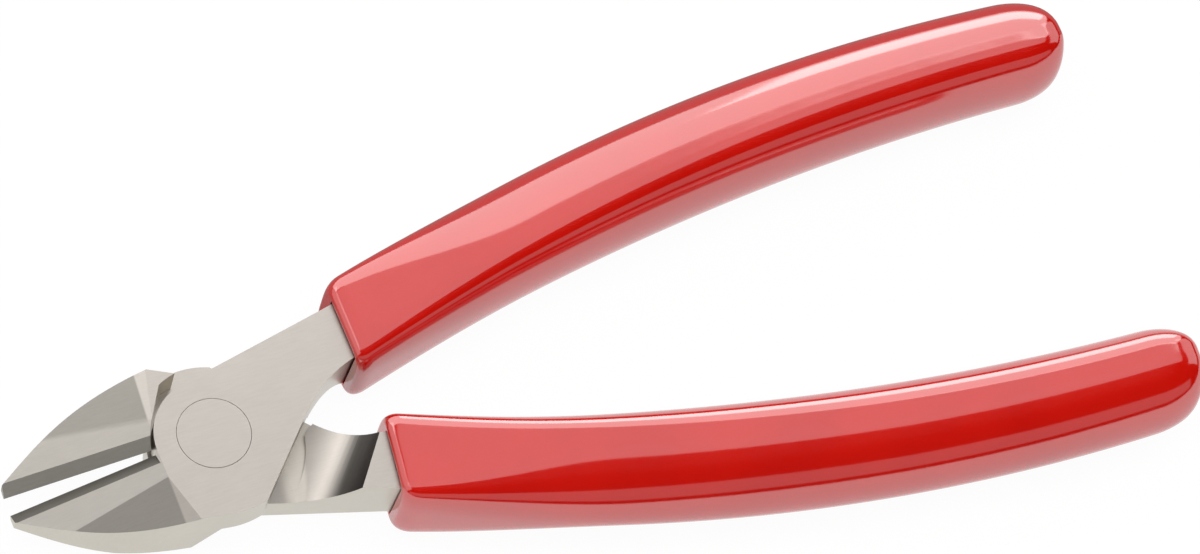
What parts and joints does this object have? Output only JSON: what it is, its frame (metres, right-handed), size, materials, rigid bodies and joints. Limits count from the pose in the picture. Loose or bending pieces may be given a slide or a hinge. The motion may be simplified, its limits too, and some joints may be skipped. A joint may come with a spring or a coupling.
{
  "type": "side-cutting nipper pliers",
  "caption": "Riveted lap-joint side cutters with ground bevelled jaws, flush pivot rivet and bowed handles in glossy red dipped grips",
  "frame": {"origin": "on the pivot axis, at the flush back face of the rivet", "axes": "+X along the middle of the tool from the jaws to the handles, +Z along the pivot axis from the back face to the ground front face, +Y towards the handle of the half that lies in front at the joint"},
  "size_m": [0.1574, 0.065, 0.0154],
  "materials": {
    "steel": "fine ground satin steel, darker on the ground facets",
    "rivet": "ground flush with the faces",
    "grip": "glossy deep red dipped vinyl"
  },
  "bodies": {
    "front": {"front_half": "steel", "pivot_rivet": "rivet", "front_grip": "grip"},
    "back": {"back_half": "steel", "back_grip": "grip"}
  },
  "joints": [
    {"name": "pivot", "type": "hinge", "parent": "front", "child": "back", "pos_m": [0, 0, 0], "axis": [0, 0, -1], "range_deg": [-5, 28]}
  ]
}
